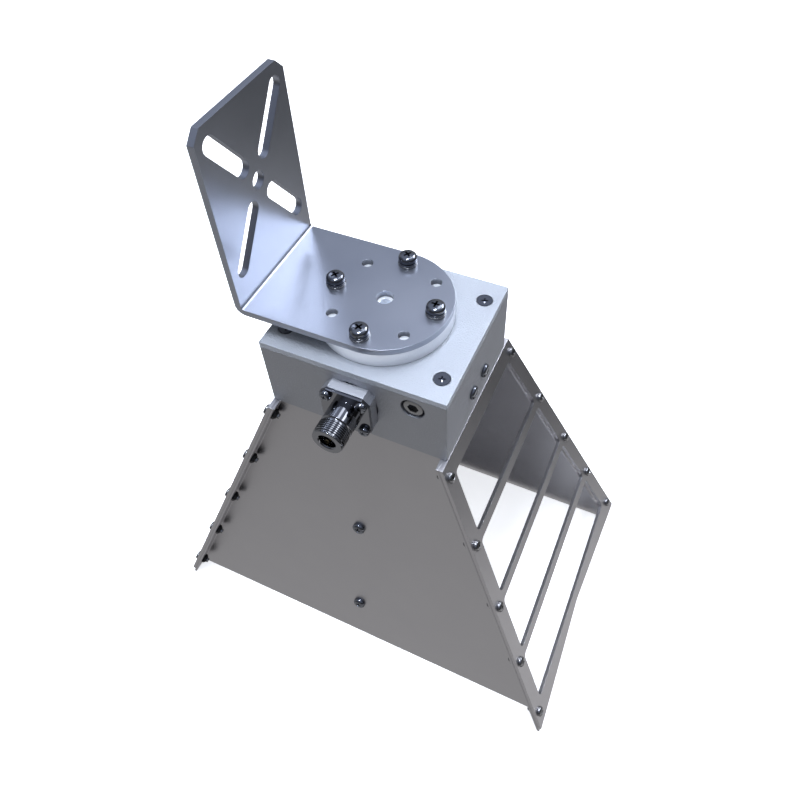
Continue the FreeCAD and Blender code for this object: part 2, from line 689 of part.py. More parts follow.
SOCKET_AT = ("Sizes.socket_screw_x", "Sizes.socket_screw_z")
circles(counterbore, [SOCKET_AT], "Sizes.socket_bore")
cut(box_blank, counterbore, "Sizes.socket_rise + Sizes.socket_sink")
socket_tap = new_sketch(box_blank, "BoxSocketTap", "XZ_Plane", "Sizes.box_depth / 2")
circles(socket_tap, [SOCKET_AT], "Sizes.socket_shank")
cut(box_blank, socket_tap, "Sizes.box_face_wall")
block_taps = new_sketch(box_blank, "BoxBlockTaps", "XZ_Plane", "Sizes.box_depth / 2")
circles(block_taps, [(a + "Sizes.jack_screw_half",
                      "Sizes.feed_height " + (b or "+") + " Sizes.jack_screw_half")
                     for a, b in FOUR_SIGNS], "Sizes.jack_screw_shank")
cut(box_blank, block_taps,
    "Sizes.jack_screw_length - Sizes.block_thickness - Sizes.jack_flange + Sizes.tap_spare")
side_taps = new_sketch(box_blank, "BoxSideTaps", "YZ_Plane", "Sizes.box_width / 2")
SIDE_HEIGHT = "Sizes.flare_height + Sizes.side_screw_rise"
circles(side_taps, [("-Sizes.side_screw_y", SIDE_HEIGHT), ("Sizes.side_screw_y", SIDE_HEIGHT)],
        "Sizes.side_shank")
cut(box_blank, side_taps)


def wall_screw_holes(face):
    """Countersunk through holes above and below the feed's axis, in one face wall."""
    depth = S.recess_depth if face < 0 else 0.0
    holes = []
    for sign in (-1, 1):
        place = wall_place(face, 0.0, S.feed_height + sign * S.wall_screw_offset, depth)
        holes.append(place)
    return holes


WALL_SCREWS = wall_screw_holes(-1) + wall_screw_holes(1)
sink = Part.makeCone(S.sunk_shank, S.sunk_rim, S.sunk_rim - S.sunk_shank,
                     Vector(0, 0, -S.sunk_depth), Z_AXIS)
sink = sink.fuse(Part.makeCylinder(S.sunk_rim, S.sunk_edge, Vector(0, 0, -S.sunk_edge), Z_AXIS))
sinks = []
for place in WALL_SCREWS:
    copy = sink.copy()
    copy.Placement = place
    sinks.append(copy)
sinks.append(cylinders(S.sunk_shank, S.box_face_wall + S.overrun, WALL_SCREWS))
cavity_box = drilled("cavity_box", box_blank, Part.makeCompound(sinks))

cover_plate = new_body("cover_plate")
cover_plan = new_sketch(cover_plate, "CoverPlan", "XY_Plane", "Sizes.cover_under")
rectangle(cover_plan, "Sizes.box_width / 2", "Sizes.box_depth / 2")
extrude(cover_plate, cover_plan, "Sizes.cover_thickness")
COVER_SCREWS_AT = [(a + "Sizes.cover_screw_x", b + "Sizes.cover_screw_y") for a, b in FOUR_SIGNS]
cover_holes = new_sketch(cover_plate, "CoverHoles", "XY_Plane", "Sizes.box_top")
circles(cover_holes, COVER_SCREWS_AT, "Sizes.sunk_rim")
cut(cover_plate, cover_holes, "Sizes.sunk_depth")
cover_shanks = new_sketch(cover_plate, "CoverShanks", "XY_Plane", "Sizes.box_top")
circles(cover_shanks, COVER_SCREWS_AT, "Sizes.sunk_shank")
cut(cover_plate, cover_shanks)

cover_places = []
for x_sign in (-1, 1):
    for y_sign in (-1, 1):
        point = Vector(x_sign * S.cover_screw_x, y_sign * S.cover_screw_y, S.box_top)
        cover_places.append(placed(point, Z_AXIS))
group("cover_screws", cover_screw, cover_places)

side_places = []
for side in (-1, 1):
    for y_sign in (-1, 1):
        point = Vector(side * S.box_width / 2, y_sign * S.side_screw_y,
                       S.flare_height + S.side_screw_rise)
        side_places.append(placed(point, Vector(side, 0, 0)))
group("box_side_screws", side_screw, side_places)
group("ridge_wall_screws", wall_screw, WALL_SCREWS)

# Socket head screw in its counterbore, turned and then keyed
socket_body = turned_piece("SocketScrew", [
    ("0", "-Sizes.socket_length"), ("Sizes.socket_shank", "-Sizes.socket_length"),
    ("Sizes.socket_shank", "0"), ("Sizes.socket_rim", "0"),
    ("Sizes.socket_rim", "Sizes.socket_rise - Sizes.socket_break"),
    ("Sizes.socket_rim - Sizes.socket_break", "Sizes.socket_rise"), ("0", "Sizes.socket_rise")])
key = new_sketch(socket_body, "SocketKey", "XY_Plane", "Sizes.socket_rise")
key_corner = "Sizes.socket_key / sqrt(3)"
key_half = "Sizes.socket_key / 2"
outline(key, [(key_corner, "0"), (key_corner + " / 2", key_half),
              ("-" + key_corner + " / 2", key_half), ("-" + key_corner, "0"),
              ("-" + key_corner + " / 2", "-" + key_half), (key_corner + " / 2", "-" + key_half)])
cut(socket_body, key, "Sizes.socket_rise / 2")
socket_place = wall_place(-1, S.socket_screw_x, S.socket_screw_z, S.socket_rise + S.socket_sink)
group("socket_cap_screw", socket_body, [socket_place])


# Ridges: their free edge opens from the feed to the mouth along an exponential curve

def ridge_curve():
    """Points of the free edge as (distance from the axis, height), from the box downwards."""
    run = S.flare_height - S.ridge_end
    lean = math.tan(PLATE_LEAN)
    plate_inner = S.mouth_half_depth - lean * S.ridge_end - S.plate_along_y
    opening = plate_inner - S.ridge_end_height - S.ridge_linear_share * run
    growth = math.log(opening / S.ridge_half_gap) / run
    points = []
    for step in range(CURVE_STEPS + 1):
        down = run * step / CURVE_STEPS
        away = S.ridge_linear_share * down + S.ridge_half_gap * math.exp(growth * down)
        points.append((away, S.flare_height - down))
    return points


def ridge(name, face, drills):
    """Ridge along one flare plate with its foot on the box's wall."""
    lean = math.tan(PLATE_LEAN)
    wall = S.box_depth / 2 - S.box_face_wall
    inner_top = S.plate_top_face - S.plate_along_y
    inner_end = S.mouth_half_depth - lean * S.ridge_end - S.plate_along_y
    top = S.cover_under - S.ridge_top_gap
    curve = Part.BSplineCurve()
    curve.interpolate([Vector(0, face * y, z) for y, z in ridge_curve()])
    nose = S.ridge_nose
    gap = S.ridge_half_gap
    turn = math.sqrt(0.5)
    arc = Part.Arc(Vector(0, face * gap, top - nose),
                   Vector(0, face * (gap + nose * (1 - turn)), top - nose * (1 - turn)),
                   Vector(0, face * (gap + nose), top))
    first = ridge_curve()[0]
    last = ridge_curve()[-1]
    edges = [curve.toShape(), arc.toShape()]
    corners = [(last[0], last[1]), (inner_end, S.ridge_end), (inner_top, S.flare_height),
               (wall, S.flare_height), (wall, top), (gap + nose, top)]
    for (y_a, z_a), (y_b, z_b) in zip(corners[:-1], corners[1:]):
        edges.append(Part.makeLine(Vector(0, face * y_a, z_a), Vector(0, face * y_b, z_b)))
    edges.append(Part.makeLine(Vector(0, face * gap, top - nose),
                               Vector(0, face * first[0], first[1])))
    profile = Part.Face(Part.Wire(Part.__sortEdges__(edges)))
    profile.translate(Vector(-S.ridge_width / 2, 0, 0))
    solid = profile.extrude(Vector(S.ridge_width, 0, 0)).cut(drills)
    piece = doc.addObject("Part::Feature", name)
    piece.Shape = solid
    piece.Label = name
    return piece


def ridge_drills(face):
    """Taps for the plate's and the wall's screws, and the feed's hole."""
    tools = []
    for height in (S.ridge_screw_high, S.ridge_screw_low):
        tools.append(cylinders(S.ridge_shank, S.ridge_length + S.tap_spare,
                               [plate_place(face, height)]))
    walls = wall_screw_holes(face)
    tools.append(cylinders(S.sunk_shank, S.wall_screw_length + S.tap_spare, walls))
    return tools


FEED = Vector(0, 0, S.feed_height)
FRONT = S.box_depth / 2
line_bore = Part.makeCylinder(S.bead_radius, FRONT, FEED, -Y_AXIS)
pin_bore = Part.makeCylinder(S.contact_radius, S.pin_bite + S.tap_spare, FEED, Y_AXIS)
front_ridge = ridge("front_ridge", -1, Part.makeCompound(ridge_drills(-1) + [line_bore]))
back_ridge = ridge("back_ridge", 1, Part.makeCompound(ridge_drills(1) + [pin_bore]))

ridge_places = [plate_place(face, height) for face in (-1, 1)
                for height in (S.ridge_screw_high, S.ridge_screw_low)]
group("ridge_screws", ridge_screw, ridge_places)


# Adapter block and coaxial jack, drawn in the plane of the box's front face

def cut_square(sketch, half, corner, height):
    """Square with cut corners round the jack's axis."""
    low = "(%s - %s)" % (half, corner)
    outline(sketch, [
        (low, height + " - " + half), (half, height + " - " + low),
        (half, height + " + " + low), (low, height + " + " + half),
        ("-" + low, height + " + " + half), ("-" + half, height + " + " + low),
        ("-" + half, height + " - " + low), ("-" + low, height + " - " + half)])


def square_plate(name, start, thickness, bore):
    """Square plate in front of the box with its bore and four screw holes."""
    body = new_body(name)
    face = new_sketch(body, name + "Face", "XZ_Plane", start)
    cut_square(face, "Sizes.block_side / 2", "Sizes.block_chamfer", "Sizes.feed_height")
    circles(face, [("0", "Sizes.feed_height")], bore)
    circles(face, [(a + "Sizes.jack_screw_half",
                    "Sizes.feed_height " + (b or "+") + " Sizes.jack_screw_half")
                   for a, b in FOUR_SIGNS], "Sizes.jack_screw_shank + Sizes.hole_gap")
    extrude(body, face, thickness)
    return body


adapter_block = square_plate("adapter_block", "Sizes.box_depth / 2", "Sizes.block_thickness",
                             "Sizes.bead_radius")
flange = square_plate("JackFlange", "Sizes.box_depth / 2 + Sizes.block_thickness",
                      "Sizes.jack_flange", "Sizes.bead_radius")
barrel = turned_piece("JackBarrel", [
    ("Sizes.bead_radius", "0"), ("Sizes.jack_radius", "0"),
    ("Sizes.jack_radius", "Sizes.jack_root"),
    ("Sizes.jack_groove_radius", "Sizes.jack_root + Sizes.jack_groove_slope"),
    ("Sizes.jack_groove_radius", "Sizes.jack_root + Sizes.jack_groove"),
    ("Sizes.jack_radius", "Sizes.jack_root + Sizes.jack_groove + Sizes.jack_groove_slope"),
    ("Sizes.jack_radius", "Sizes.jack_length - Sizes.jack_lead"),
    ("Sizes.jack_radius - Sizes.jack_lead / 2", "Sizes.jack_length"),
    ("Sizes.jack_bore + Sizes.jack_mouth_cone", "Sizes.jack_length"),
    ("Sizes.jack_bore", "Sizes.jack_length - Sizes.jack_mouth_cone"),
    ("Sizes.jack_bore", "Sizes.jack_length - Sizes.jack_bore_depth"),
    ("Sizes.bead_radius", "Sizes.jack_length - Sizes.jack_bore_depth")])
barrel.Placement = placed(Vector(0, -S.jack_seat, S.feed_height), -Y_AXIS)
jack_body = doc.addObject("Part::Fuse", "connector_body")
jack_body.Base = flange
jack_body.Tool = barrel
jack_body.Label = "connector_body"

jack_screw_places = []
for x_sign in (-1, 1):
    for z_sign in (-1, 1):
        point = Vector(x_sign * S.jack_screw_half, -S.jack_seat,
                       S.feed_height + z_sign * S.jack_screw_half)
        jack_screw_places.append(placed(point, -Y_AXIS))
group("connector_screws", jack_screw, jack_screw_places)

# Insulator and centre contact along the feed's axis: z = 0 of both is the jack's rim
RIM = Vector(0, -(FRONT + S.jack_reach), S.feed_height)
connector_insulator = turned_piece("connector_insulator", [
    ("Sizes.contact_radius", "-Sizes.jack_bore_depth"),
    ("Sizes.contact_radius", "-Sizes.jack_bore_depth - Sizes.bead_length"),
    ("Sizes.bead_radius", "-Sizes.jack_bore_depth - Sizes.bead_length"),
    ("Sizes.bead_radius", "-Sizes.jack_bore_depth")])
connector_insulator.Placement = placed(RIM, -Y_AXIS)
connector_contact = turned_piece("connector_contact", [
    ("0", "-Sizes.rod_length"), ("Sizes.contact_radius", "-Sizes.rod_length"),
    ("Sizes.contact_radius", "-Sizes.contact_back - Sizes.contact_tip"),
    ("Sizes.contact_radius - Sizes.contact_tip", "-Sizes.contact_back"),
    ("Sizes.contact_bore", "-Sizes.contact_back"),
    ("Sizes.contact_bore", "-Sizes.contact_back - Sizes.contact_socket"),
    ("0", "-Sizes.contact_back - Sizes.contact_socket")])
connector_contact.Placement = placed(RIM, -Y_AXIS)


# Mounting disc: four taps for the bracket's screws and a centre hole

BRACKET_SCREWS = 4  # the bracket has a spare hole between each two


def ring_points(radius, count):
    """Cell formulas of evenly spaced points on a circle, the first one on the X axis."""
    points = []
    for index in range(count):
        angle = index * 360 / count
        points.append(("%s * cos(%g deg)" % (radius, angle), "%s * sin(%g deg)" % (radius, angle)))
    return points


mount_disc = new_body("mount_disc")
disc_plan = new_sketch(mount_disc, "DiscPlan", "XY_Plane", "Sizes.box_top")
circles(disc_plan, [("0", "0")], "Sizes.disc_radius")
extrude(mount_disc, disc_plan, "Sizes.disc_height")
disc_taps = new_sketch(mount_disc, "DiscTaps", "XY_Plane", "Sizes.disc_top")
circles(disc_taps, ring_points("Sizes.bracket_pitch_radius", BRACKET_SCREWS),
        "Sizes.bracket_shank")
circles(disc_taps, [("0", "0")], "Sizes.disc_centre_hole")
cut(mount_disc, disc_taps, "Sizes.bracket_grip + Sizes.tap_spare")

# Bracket: plate with a round end, bent up into a leg with a centre hole and four slots
bracket_blank = new_body("BracketBlank")
BEND_END = "-Sizes.leg_face + Sizes.bracket_thickness + Sizes.bracket_bend"
side_view = new_sketch(bracket_blank, "BracketSide", "XZ_Plane", "-Sizes.disc_radius")
outline(side_view, [
    ("-Sizes.leg_face", "Sizes.disc_top"), ("-Sizes.box_width / 2", "Sizes.disc_top"),
    ("-Sizes.box_width / 2", "Sizes.bracket_top"),
    ("-Sizes.leg_face + Sizes.bracket_thickness", "Sizes.bracket_top"),
    ("-Sizes.leg_face + Sizes.bracket_thickness", "Sizes.leg_top"),
    ("-Sizes.leg_face", "Sizes.leg_top")])
extrude(bracket_blank, side_view, "2 * Sizes.disc_radius")


def bend_edge(inner):
    """Test for the bracket's bend line on its inner or its outer side."""
    x = -S.leg_face + (S.bracket_thickness if inner else 0.0)
    z = S.bracket_top if inner else S.disc_top

    def test(edge):
        point = edge.Vertexes[0].Point
        return runs_along(edge, Y_AXIS) and abs(point.x - x) < 1e-3 and abs(point.z - z) < 1e-3
    return test


dress(bracket_blank, "Fillet", edges_where(bracket_blank.Shape, bend_edge(True)),
      "Sizes.bracket_bend")
dress(bracket_blank, "Fillet", edges_where(bracket_blank.Shape, bend_edge(False)),
      "Sizes.bracket_bend + Sizes.bracket_thickness")
leg_corners = edges_where(bracket_blank.Shape, lambda edge: runs_along(edge, X_AXIS)
                          and abs(edge.Vertexes[0].Point.z - S.leg_top) < 1e-3)
dress(bracket_blank, "Chamfer", leg_corners, "Sizes.leg_chamfer")

plate_plan = new_sketch(bracket_blank, "BracketPlan", "XY_Plane", "Sizes.disc_top")
outline(plate_plan, [(BEND_END, "-Sizes.disc_radius"), ("0", "-Sizes.disc_radius"),
                     ("0", "Sizes.disc_radius"), (BEND_END, "Sizes.disc_radius")])
extrude(bracket_blank, plate_plan, "Sizes.bracket_thickness")
round_end = new_sketch(bracket_blank, "BracketEnd", "XY_Plane", "Sizes.disc_top")
circles(round_end, [("0", "0")], "Sizes.disc_radius")
extrude(bracket_blank, round_end, "Sizes.bracket_thickness")

plate_holes = new_sketch(bracket_blank, "BracketHoles", "XY_Plane", "Sizes.bracket_top")
circles(plate_holes, ring_points("Sizes.bracket_pitch_radius", 2 * BRACKET_SCREWS),
        "Sizes.bracket_hole")
circles(plate_holes, [("0", "0")], "Sizes.bracket_centre_hole")
cut(bracket_blank, plate_holes, "Sizes.bracket_thickness")
leg_hole = new_sketch(bracket_blank, "LegHole", "YZ_Plane", "-Sizes.leg_face")
circles(leg_hole, [("0", "Sizes.bracket_top + Sizes.leg_pattern_rise")], "Sizes.leg_centre_hole")
cut(bracket_blank, leg_hole, "Sizes.bracket_thickness", backwards=True)


def leg_slot(y_sign, z_sign):
    """Cutter of one slot: a block between two round ends, through the leg along X."""
    across = S.disc_radius - S.slot_side
    rise = S.leg_rise - S.leg_pattern_rise - S.slot_top
    far = math.hypot(across, rise)
    depth = S.bracket_thickness + 2 * S.overrun
    tool = Part.makeBox(depth, far - S.slot_start, 2 * S.slot_half_width,
                        Vector(0, S.slot_start, -S.slot_half_width))
    for distance in (S.slot_start, far):
        tool = tool.fuse(Part.makeCylinder(S.slot_half_width, depth, Vector(0, distance, 0), X_AXIS))
    middle = Vector(-S.leg_face - S.overrun, 0, S.bracket_top + S.leg_pattern_rise)
    angle = math.degrees(math.atan2(z_sign * rise, y_sign * across))
    tool.Placement = Placement(middle, Rotation(X_AXIS, angle))
    return tool


leg_slots = [leg_slot(y_sign, z_sign) for y_sign in (-1, 1) for z_sign in (-1, 1)]
bracket = drilled("bracket", bracket_blank, Part.makeCompound(leg_slots))

bracket_places = []
washer_places = []
spring_places = []
for index in range(BRACKET_SCREWS):
    angle = math.radians(index * 360 / BRACKET_SCREWS)
    point = Vector(S.bracket_pitch_radius * math.cos(angle),
                   S.bracket_pitch_radius * math.sin(angle), S.bracket_top)
    washer_places.append(placed(point, Z_AXIS))
    spring_places.append(placed(point + Z_AXIS * S.flat_washer_height, Z_AXIS,
                                SLIT_FIRST + SLIT_STEP * index))
    bracket_places.append(placed(point + Z_AXIS * S.bracket_stack, Z_AXIS))
group("flat_washers", flat_washer, washer_places)
group("spring_washers", spring_washer, spring_places)
group("bracket_screws", bracket_screw, bracket_places)
doc.recompute()

NODES = ["cavity_box", "cover_plate", "cover_screws", "front_flare_plate", "back_flare_plate",
         "left_grille", "right_grille", "left_grille_screws", "right_grille_screws",
         "left_grille_nuts", "right_grille_nuts", "front_ridge", "back_ridge", "ridge_screws",
         "ridge_wall_screws", "box_side_screws", "socket_cap_screw", "adapter_block",
         "connector_body", "connector_insulator", "connector_contact", "connector_screws",
         "mount_disc", "bracket", "bracket_screws", "spring_washers", "flat_washers"]

for item in doc.Objects:
    faults = [word for word in item.State if word in ("Invalid", "Error")]
    if faults:
        raise RuntimeError("%s is %s" % (item.Name, faults))
for node in NODES:
    piece = doc.getObjectsByLabel(node)[0]
    if piece.Shape.isNull() or not piece.Shape.isValid():
        raise RuntimeError("%s has no valid shape" % node)
    piece.Shape.exportStep("parts/%s.step" % node)
    print(node, len(piece.Shape.Solids), round(piece.Shape.Volume / 1000, 2), "cm3")
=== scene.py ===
import math

import bpy
import numpy as np
from mathutils import Matrix, Vector


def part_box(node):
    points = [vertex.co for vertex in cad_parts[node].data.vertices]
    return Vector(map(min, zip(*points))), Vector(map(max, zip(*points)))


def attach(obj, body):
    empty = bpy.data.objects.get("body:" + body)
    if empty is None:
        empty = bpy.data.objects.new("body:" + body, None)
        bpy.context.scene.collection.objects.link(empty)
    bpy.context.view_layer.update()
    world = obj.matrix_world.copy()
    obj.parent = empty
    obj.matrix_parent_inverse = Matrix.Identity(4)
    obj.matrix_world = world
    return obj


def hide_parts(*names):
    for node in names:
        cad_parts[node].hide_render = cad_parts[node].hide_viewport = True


# Double-ridged horn antenna: finishes, fasteners, coaxial jack, light and camera.
# Everything is in metres in the frame of the CAD model, with the horn's mouth on z = 0.

MM = 0.001
INNER_POINT = np.array([0, 0, 150 * MM])  # inside the horn: every screw's head looks away from it
RIM_SHARE = 0.98  # corners beyond this share of a head's radius are its rim
SHANK_SHARE = 0.3  # lowest part of a screw's length, which is shank alone
SMOOTH_ANGLE = math.radians(32)  # sharper edges than this stay sharp to the eye

# Blasted aluminium
CLOUD_SIZE = 28 * MM  # slow changes of tone over a plate
HOLE_REACH = 8 * MM  # a wall with another one nearer than this is in a recess and gets painted shade
GLOSS_SPREAD = 0.015  # roughness either side of its middle

# Pan heads, as shares of the head's radius and height
PAN_SEAT = 0.92  # radius of the face that the head sits on
PAN_DOME = 0.62  # radius where the dome's round edge ends and its top begins
PAN_TOP = ((0.42, 0.05), (0.2, 0.02))  # radius and rise of the rings on the flat top
SCREW_TIP = 0.3  # height of a screw's tip by the radius of its shank

# Split spring washers under the bracket's screws
SPRING_MIDDLE = 3.75 * MM  # middle of the bar from the screw's axis
SPRING_WIDTH = 1.85 * MM  # bar across
SPRING_BAR = 1.05 * MM  # bar's height
SPRING_RISE = 0.25 * MM  # one end above the other
SPRING_TURN = 0.96  # share of a full turn, the rest is the split

# Coaxial jack
JACK_RADIUS = 7.95 * MM  # barrel and crest of the thread
THREAD_CORE = 7.4 * MM  # bottom of the thread
THREAD_PITCH = 1.058 * MM  # 24 turns to the inch
THREAD_LENGTH = 7.6 * MM  # thread behind the jack's rim
JACK_NOSE = 0.9 * MM  # plain nose in front of the thread

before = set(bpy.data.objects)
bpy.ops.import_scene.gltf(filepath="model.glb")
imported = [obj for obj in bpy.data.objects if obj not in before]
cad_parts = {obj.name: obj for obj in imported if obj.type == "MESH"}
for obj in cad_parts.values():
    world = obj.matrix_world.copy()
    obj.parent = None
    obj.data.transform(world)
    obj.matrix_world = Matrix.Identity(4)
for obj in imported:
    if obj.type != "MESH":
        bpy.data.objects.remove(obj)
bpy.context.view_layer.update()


# Colours and nodes

def linear(code):
    """sRGB hex colour as Blender's linear colour."""
    values = []
    for start in (0, 2, 4):
        value = int(code[start:start + 2], 16) / 255
        values.append(value / 12.92 if value <= 0.04045 else ((value + 0.055) / 1.055) ** 2.4)
    return (*values, 1.0)


def node(tree, kind, values=None, links=None, stops=(), **settings):
    """Add one node with its settings, its sockets' values, its links and its ramp's stops."""
    made = tree.nodes.new(kind)
    for name, value in settings.items():
        setattr(made, name, value)
    for name, value in (values or {}).items():
        made.inputs[name].default_value = value
    for name, source in (links or {}).items():
        tree.links.new(source, made.inputs[name])
    for index, (position, colour) in enumerate(stops):
        elements = made.color_ramp.elements
        element = elements[index] if index < len(elements) else elements.new(position)
        element.position = position
        element.color = colour
    return made


def new_material(name):
    """Empty node material and its tree."""
    material = bpy.data.materials.new(name)
    material.use_nodes = True
    material.node_tree.nodes.clear()
    return material, material.node_tree


def blasted_aluminium(name, colour, shade, roughness, grain, depth, metallic=1.0, hollow_shade=1.0):
    """Aluminium, bead-blasted and clear anodised: an even satin grey with a fine grain.

    The glass beads leave dents about 0.1 mm wide; they are drawn `grain` millimetres wide and
    `depth` millimetres deep, coarser than real, to show at the photograph's distance. A thick
    oxide scatters light by itself: its share is what `metallic` leaves. Walls of small holes get
    painted shade: ambient occlusion darkens them to the share of their colour that the last
    argument gives.
    """
    material, tree = new_material(name)
    place = node(tree, "ShaderNodeTexCoord").outputs["Object"]
    cloud = node(tree, "ShaderNodeTexNoise", {"Scale": 1 / CLOUD_SIZE, "Detail": 3.0},
                 {"Vector": place})
    beads = node(tree, "ShaderNodeTexNoise", {"Scale": 1 / (grain * MM), "Detail": 2.0},
                 {"Vector": place})
    tone = node(tree, "ShaderNodeMix", {6: linear(shade), 7: linear(colour)},
                {"Factor": cloud.outputs["Fac"]}, data_type="RGBA")
    shown = tone.outputs[2]
    # Painted shade: ambient occlusion darkens the walls of small holes towards black
    if hollow_shade < 1:
        sky = node(tree, "ShaderNodeAmbientOcclusion", {"Distance": HOLE_REACH})
        painted_shade_factor = node(tree, "ShaderNodeMapRange",
                        {"From Min": 0.3, "From Max": 0.55, "To Min": hollow_shade, "To Max": 1.0},
                        {"Value": sky.outputs["AO"]})
        shown = node(tree, "ShaderNodeMix", {6: linear("000000")},
                     {"Factor": painted_shade_factor.outputs["Result"], 7: tone.outputs[2]},
                     data_type="RGBA").outputs[2]
    gloss = node(tree, "ShaderNodeMapRange",
                 {"From Min": 0.3, "From Max": 0.7, "To Min": roughness - GLOSS_SPREAD,
                  "To Max": roughness + GLOSS_SPREAD}, {"Value": cloud.outputs["Fac"]})
    dents = node(tree, "ShaderNodeBump", {"Strength": 1.0, "Distance": depth * MM},
                 {"Height": beads.outputs["Fac"]})
    shader = node(tree, "ShaderNodeBsdfPrincipled", {"Metallic": metallic},
                  {"Base Color": shown, "Roughness": gloss.outputs["Result"],
                   "Normal": dents.outputs["Normal"]})
    node(tree, "ShaderNodeOutputMaterial", links={"Surface": shader.outputs["BSDF"]})
    return material


def bright_metal(name, colour, roughness, streak, metallic=1.0):
    """Turned, plated or moulded surface with faint tool marks `streak` millimetres apart."""
    material, tree = new_material(name)
    place = node(tree, "ShaderNodeTexCoord").outputs["Object"]
    marks = node(tree, "ShaderNodeTexNoise", {"Scale": 1 / (streak * MM), "Detail": 3.0},
                 {"Vector": place})
    gloss = node(tree, "ShaderNodeMapRange",
                 {"From Min": 0.3, "From Max": 0.7, "To Min": roughness * 0.75,
                  "To Max": roughness * 1.3}, {"Value": marks.outputs["Fac"]})
    wear = node(tree, "ShaderNodeBump", {"Strength": 0.08, "Distance": 0.01 * MM},
                {"Height": marks.outputs["Fac"]})
    shader = node(tree, "ShaderNodeBsdfPrincipled",
                  {"Metallic": metallic, "Base Color": linear(colour)},
                  {"Roughness": gloss.outputs["Result"], "Normal": wear.outputs["Normal"]})
    node(tree, "ShaderNodeOutputMaterial", links={"Surface": shader.outputs["BSDF"]})
    return material


# Even satin grey of the milled box, block and ridges, darker where it mirrors the floor
MACHINED = blasted_aluminium("bead-blasted anodised aluminium, machined", "C9CBCF", "BEC0C6",
                             0.6, 0.9, 0.2)
# The brightest face: a chalky, almost white top with a fine speckle
COVER = blasted_aluminium("bead-blasted anodised aluminium, chalky top", "B9BEC6", "A9AEB6",
                          0.55, 0.7, 0.3, 0.75)
# Rim of the disc, seen under the bracket and as bright crescents in its holes: pale anodised
# aluminium whose near-white colour is partly painted light, brightening the disc's side in the
# bracket's shade
TURNED_PAINTED_LIGHT = blasted_aluminium("turned anodised aluminium, painted light", "EEF2F8", "E4E9F0", 0.5, 0.9, 0.1, 0.42)
# Large quiet grey faces of the flare and grilles, with slow changes from top to bottom
SHEET = blasted_aluminium("bead-blasted anodised aluminium, sheet", "D6D4D5", "CCCACC", 0.36, 0.6,
                          0.04)
# Cooler and glossier plate: blue grey at the round end, nearly white at the fold; painted shade
# darkens the walls of its small holes
BRACKET = blasted_aluminium("bead-blasted anodised aluminium, bent plate", "B8BCC6", "AEB3BE",
                            0.3, 0.6, 0.03, hollow_shade=0.25)
# Mirror-like barrel of the jack with sharp white streaks on near black
NICKEL = bright_metal("bright nickel plate", "8A8B8F", 0.06, 0.4)
# Dark heads with small hard highlights
DARK_NICKEL = bright_metal("dark nickel-plated steel", "84878E", 0.1, 0.3)
# Grey heads and washers with soft highlights
STEEL = bright_metal("turned stainless steel", "9C9C9D", 0.26, 0.3)
# Black nuts that hardly shine
BLACK_STEEL = bright_metal("black-oxide steel", "1A1A1C", 0.35, 0.3, 0.6)
# Matt white ring round the contact
PTFE = bright_metal("white PTFE", "DADAD6", 0.45, 0.6, 0.0)
# Warm spark of the contact in the jack's dark mouth
GOLD = bright_metal("gold-plated brass", "D8C79A", 0.2, 0.3)


# Making pieces: CAD copies with broken edges, and pieces shaped from primitives

def deselect_all():
    """Leave edit mode and select nothing."""
    if bpy.context.object and bpy.context.object.mode != "OBJECT":
        bpy.ops.object.mode_set(mode="OBJECT")
    bpy.ops.object.select_all(action="DESELECT")


def pick(piece):
    """Make the piece the only selected and active one."""
    deselect_all()
    piece.select_set(True)
    bpy.context.view_layer.objects.active = piece


def modify(piece, kind, **settings):
    """Add one modifier with its settings and apply it."""
    pick(piece)
    modifier = piece.modifiers.new(kind, kind)
    for name, value in settings.items():
        setattr(modifier, name, value)
    bpy.ops.object.modifier_apply(modifier=modifier.name)


def settle(piece):
    """Put the piece's place, turn and size into its mesh."""
    pick(piece)
    bpy.ops.object.transform_apply(location=True, rotation=True, scale=True)


def join(pieces):
    """Join pieces into the first one."""
    deselect_all()
    for piece in pieces:
        piece.select_set(True)
    bpy.context.view_layer.objects.active = pieces[0]
    bpy.ops.object.join()
    return pieces[0]


def finish_piece(piece, name, material, cad_node):
    """Name the piece, give it its material and let it stand for its CAD node."""
    piece.name = name
    piece.data.materials.clear()
    piece.data.materials.append(material)
    settle(piece)
    bpy.ops.object.shade_smooth_by_angle(angle=SMOOTH_ANGLE)
    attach(piece, "root")
    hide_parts(cad_node)
    return piece


def merged_copy(cad_node):
    """The CAD node's mesh as a closed one: doubles merged and flat faces made whole."""
    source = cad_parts[cad_node]
    piece = bpy.data.objects.new(cad_node + "_copy", source.data.copy())
    bpy.context.scene.collection.objects.link(piece)
    pick(piece)
    bpy.ops.object.mode_set(mode="EDIT")
    bpy.ops.mesh.select_all(action="SELECT")
    bpy.ops.mesh.remove_doubles(threshold=0.002 * MM)
    bpy.ops.mesh.dissolve_limited(angle_limit=math.radians(0.5))
    bpy.ops.mesh.normals_make_consistent(inside=False)
    bpy.ops.object.mode_set(mode="OBJECT")
    bpy.ops.mesh.customdata_custom_splitnormals_clear()
    return piece


def broken_edges(cad_node, material, width):
    """The CAD node with its sharp edges broken by `width` millimetres, as a maker does."""
    piece = merged_copy(cad_node)
    modify(piece, "BEVEL", width=width * MM, segments=2, limit_method="ANGLE",
           angle_limit=math.radians(35), use_clamp_overlap=False)
    finish_piece(piece, cad_node + "_finish", material, cad_node)
    modify(piece, "WEIGHTED_NORMAL", keep_sharp=True, weight=100)
    return piece


def primitive(kind, **settings):
    """Add a primitive by itself and return it with its place in its mesh."""
    deselect_all()
    getattr(bpy.ops.mesh, "primitive_%s_add" % kind)(**settings)
    piece = bpy.context.object
    settle(piece)
    return piece


def round_bar(radius, low, high, corners=32):
    """Round bar on the Z axis between two heights."""
    return primitive("cylinder", vertices=corners, radius=radius, depth=high - low,
                     location=(0, 0, (high + low) / 2))


